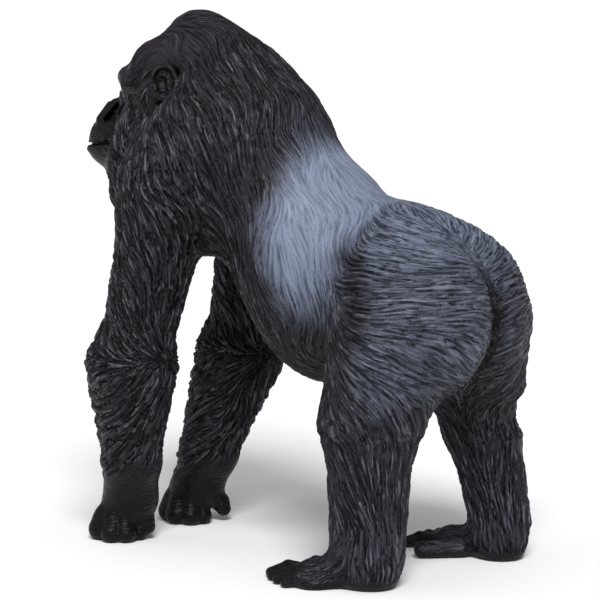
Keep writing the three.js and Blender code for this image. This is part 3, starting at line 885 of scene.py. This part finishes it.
# the skin, dressed and cut into its pieces
def makeSkin():
    field = fieldGrid()
    grid = openvdb.FloatGrid(9.0)
    grid.copyFromArray(field.astype(np.float32))
    points, quads = grid.convertToQuads(0.0)
    points = np.array(skinMesh["low"]) + skinMesh["cell"] * points
    blank = meshFrom("skin", points, quads)
    share = pieceOf(points[quads].mean(axis=1))
    unwrap(blank, share)
    setAttribute(blank.data, "piece", share, "INT", "FACE")
    finer = blank.modifiers.new("finer", "SUBSURF")
    finer.subdivision_type = "SIMPLE"
    finer.levels = finer.render_levels = 1
    finer.uv_smooth = "NONE"
    fine = bpy.data.meshes.new_from_object(blank.evaluated_get(bpy.context.evaluated_depsgraph_get()))
    blank.modifiers.clear()
    blank.data = fine
    at = positionsOf(fine)
    print(f"skin meshed: {len(at)} points")
    for _ in range(2):  # settles every point on the clay's true surface
        outward = gradientAt(at)
        steep = np.maximum((outward ** 2).sum(axis=1), 0.25)
        away = np.clip(bodyAt(at) / steep, -0.3, 0.3)
        at -= away[:, None] * outward
    outward = unit(gradientAt(at))
    for name, values in layCoat(at, outward).items():
        setAttribute(fine, name, values, "FLOAT_VECTOR" if values.ndim > 1 else "FLOAT")
    fine.vertices.foreach_set("co", ((at + figure["seat"]) * mm).astype(np.float32).ravel())
    fine.update()
    return blank


skinPaint = furPaint()
skin = makeSkin()
print("skin settled")
modifier = skin.modifiers.new("moulded fur", "NODES")
modifier.node_group = furTree()
for socket in modifier.node_group.interface.items_tree:
    if socket.in_out == "INPUT" and socket.name in fur:
        modifier[socket.identifier] = fur[socket.name]
    elif socket.name == "Material":
        modifier[socket.identifier] = skinPaint
dressed = bpy.data.meshes.new_from_object(skin.evaluated_get(bpy.context.evaluated_depsgraph_get()))
skin.modifiers.clear()
print("fur moulded")


def cutPieces(mesh):
    at = positionsOf(mesh)
    corners = np.empty(len(mesh.loops), np.int32)
    mesh.loops.foreach_get("vertex_index", corners)
    quads = corners.reshape(-1, 4)
    normals = np.empty(3 * len(at), np.float32)
    mesh.vertices.foreach_get("normal", normals)
    normals = normals.reshape(-1, 3)
    uv = np.empty(2 * len(corners), np.float32)
    mesh.uv_layers["OFBake"].data.foreach_get("uv", uv)
    uv = uv.reshape(-1, 4, 2)
    share = np.empty(len(quads), np.int32)
    mesh.attributes["piece"].data.foreach_get("value", share)
    for number, (name, says) in enumerate(pieces.items()):
        mine = share == number
        used, local = np.unique(quads[mine], return_inverse=True)
        piece = meshFrom(name, at[used], local.reshape(-1, 4))
        layer = piece.data.uv_layers.new(name="OFBake")
        layer.data.foreach_set("uv", uv[mine].ravel())
        setAttribute(piece.data, "flow", readAttribute(mesh, "flow", 3)[used], "FLOAT_VECTOR")
        for key in ("relief", "shag", "bare", "silver", "hollowShade"):
            setAttribute(piece.data, key, readAttribute(mesh, key)[used])
        piece.data.polygons.foreach_set("use_smooth", np.ones(mine.sum(), bool))
        piece.data.normals_split_custom_set_from_vertices(normals[used])
        piece.data.materials.append(skinPaint)
        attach(piece, "root")
        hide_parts(*says["nodes"])
        print(name, 2 * mine.sum(), "triangles")


cutPieces(dressed)
bpy.data.objects.remove(skin)


# the eyes: each band lies at an angle from the middle of the pupil, given as a share of 90 degrees
iris = {"pupil": (0.2, "#050404"), "inner": (0.25, "#3a2113"), "outer": (0.42, "#24140c"),
        "rim": (0.6, "#140d09"), "fleck": 0.12 * mm, "fleckDegrees": 6.0, "dome": 0.07}


def eyePaint():  # gloss lacquer: black pupil, flecked brown iris, dark round the rim, with a wet highlight
    material = bpy.data.materials.new("gloss lacquer")
    material.use_nodes = True
    tree = material.node_tree
    gaze = put(tree, "ShaderNodeAttribute", attribute_name="gaze").outputs["Fac"]
    place = put(tree, "ShaderNodeTexCoord").outputs["Object"]
    fleck = put(tree, "ShaderNodeTexNoise", {"Vector": place, "Scale": 1 / iris["fleck"], "Detail": 2.0})
    spread = put(tree, maths, (fleck, iris["fleckDegrees"], gaze), operation="MULTIPLY_ADD")
    spread = put(tree, maths, (spread, 90.0), operation="DIVIDE")
    bands = put(tree, "ShaderNodeValToRGB", (spread,))
    stops = bands.color_ramp.elements
    for stop, name in zip(stops, ("pupil", "rim")):
        stop.position, stop.color = iris[name][0], linear(iris[name][1])
    for name in ("inner", "outer"):
        stops.new(iris[name][0]).color = linear(iris[name][1])
    shader = tree.nodes["Principled BSDF"]
    tree.links.new(bands.outputs[0], shader.inputs["Base Color"])
    shader.inputs["Roughness"].default_value = 0.08
    shader.inputs["Coat Weight"].default_value = 1.0
    return material


gloss = eyePaint()
for side, name in ((1, "eye_left"), (-1, "eye_right")):
    low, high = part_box(name)
    bpy.ops.mesh.primitive_uv_sphere_add(segments=48, ring_count=24, radius=head["eyeRadius"] * mm)
    eye = bpy.context.object
    eye.name = f"{name}_ball"
    ahead = Vector(turned(np.array([[0.25 * side, -1.0, 0.0]]), head["turn"])[0]).normalized()
    points = positionsOf(eye.data)
    angle = np.degrees(np.arccos(np.clip(points @ np.array(ahead) / (head["eyeRadius"] * mm), -1, 1)))
    setAttribute(eye.data, "gaze", angle)
    points *= 1 + iris["dome"] * fade(angle, 42, 20)[:, None]  # the clear dome over the iris
    eye.data.vertices.foreach_set("co", points.astype(np.float32).ravel())
    eye.data.transform(Matrix.Translation((low + high) / 2))
    eye.data.uv_layers[0].name = "OFBake"
    eye.data.polygons.foreach_set("use_smooth", [True] * len(eye.data.polygons))
    eye.location = (0, 0, 0)
    eye.data.materials.append(gloss)
    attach(eye, "root")
    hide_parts(name)
print("eyes set")


# stage, light and camera: lengths in millimetres, angles in degrees
stage = {"aim": (4.9, 3.6, 43.3), "azimuth": 126, "elevation": 9, "distance": 475, "lens": 174.15,
         "world": 0.24}


def onSphere(azimuth, elevation, distance):
    a, e = math.radians(azimuth), math.radians(elevation)
    way = Vector((math.cos(e) * math.sin(a), -math.cos(e) * math.cos(a), math.sin(e)))
    return Vector(stage["aim"]) + distance * way


def facing(thing, place):
    thing.location = place * mm
    thing.rotation_euler = (Vector(stage["aim"]) - place).to_track_quat("-Z", "Y").to_euler()


lens = bpy.data.cameras.new("camera")
lens.lens = stage["lens"]
lens.sensor_width = 36
lens.clip_start = 0.01
camera = bpy.data.objects.new("camera", lens)
bpy.context.scene.collection.objects.link(camera)
facing(camera, onSphere(stage["azimuth"], stage["elevation"], stage["distance"]))
bpy.context.scene.camera = camera

bpy.ops.mesh.primitive_plane_add(size=6)
floor = bpy.context.object
floor.name = "floor"
white = bpy.data.materials.new("matt white card")  # bare, uncoated card: takes a soft shadow
white.use_nodes = True
white.node_tree.nodes["Principled BSDF"].inputs["Base Color"].default_value = (0.9, 0.9, 0.9, 1)
white.node_tree.nodes["Principled BSDF"].inputs["Roughness"].default_value = 0.9
floor.data.materials.append(white)
floor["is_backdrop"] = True

world = bpy.data.worlds.new("studio")
world.use_nodes = True
world.node_tree.nodes["Background"].inputs["Color"].default_value = (1, 1, 1, 1)
world.node_tree.nodes["Background"].inputs["Strength"].default_value = stage["world"]
bpy.context.scene.world = world

lamps = {"key": {"from": (128, 48), "strength": 3.0, "softness": 24},
         "fill": {"from": (40, 30), "strength": 0.35, "softness": 60},
         "top": {"from": (150, 80), "strength": 0.7, "softness": 60}}
for name, says in lamps.items():
    light = bpy.data.lights.new(name, "SUN")
    light.energy = says["strength"]
    light.angle = math.radians(says["softness"])
    lamp = bpy.data.objects.new(name, light)
    bpy.context.scene.collection.objects.link(lamp)
    facing(lamp, onSphere(*says["from"], 600))
bpy.context.scene.view_settings.view_transform = "Standard"

low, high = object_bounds()
print("done")
